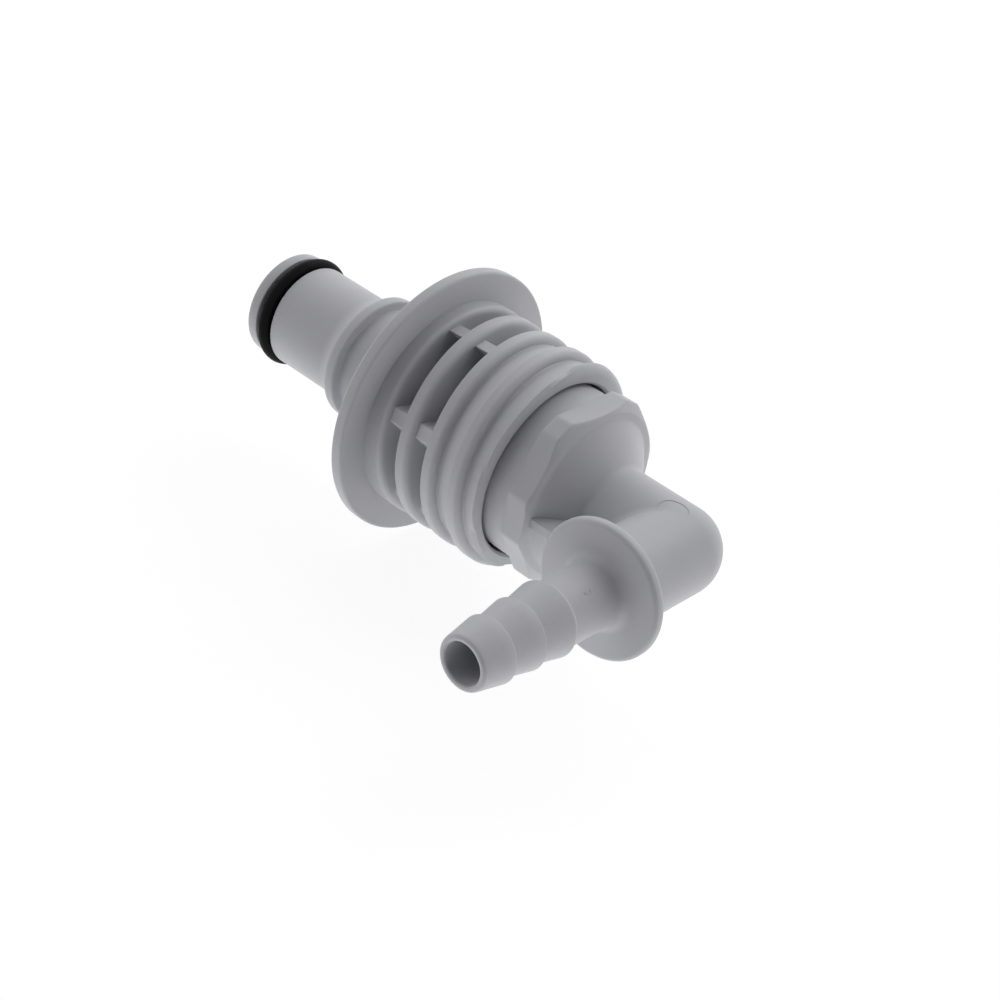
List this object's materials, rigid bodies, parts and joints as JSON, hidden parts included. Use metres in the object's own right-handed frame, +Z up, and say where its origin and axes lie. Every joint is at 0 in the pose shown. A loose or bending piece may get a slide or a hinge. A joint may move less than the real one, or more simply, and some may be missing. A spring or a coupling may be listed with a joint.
{
  "type": "panel mount hose barb coupling",
  "caption": "Grey plastic quick-disconnect insert for a panel, with a valved O-ring nose, a round flange, a coarse cored thread, and an elbow with a stepped hose barb.",
  "frame": {"origin": "on the main axis, at the flange's face that seats on the panel", "axes": "+X along the main axis from the nose towards the elbow, -Y along the hose barb, +Z up"},
  "size_m": [0.0725, 0.0514, 0.0344],
  "materials": {
    "grey_plastic": "satin moulded acetal, cool light grey",
    "black_rubber": "smooth black nitrile",
    "white_plastic": "plain moulded acetal, natural white",
    "spring_steel": "drawn stainless wire"
  },
  "bodies": {
    "housing": {"body": "grey_plastic", "nose_seal": "black_rubber", "elbow": "grey_plastic", "elbow_seal": "black_rubber", "valve_spring": "spring_steel", "spring_guide": "white_plastic"},
    "valve": {"poppet": "white_plastic", "poppet_seal": "black_rubber"}
  },
  "joints": [
    {"name": "poppet_slide", "type": "slide", "parent": "housing", "child": "valve", "axis": [1, 0, 0], "range_m": [0, 0.0045], "stiffness_N_per_m": 600, "springref_m": -0.004, "deforming": ["valve_spring"]}
  ]
}
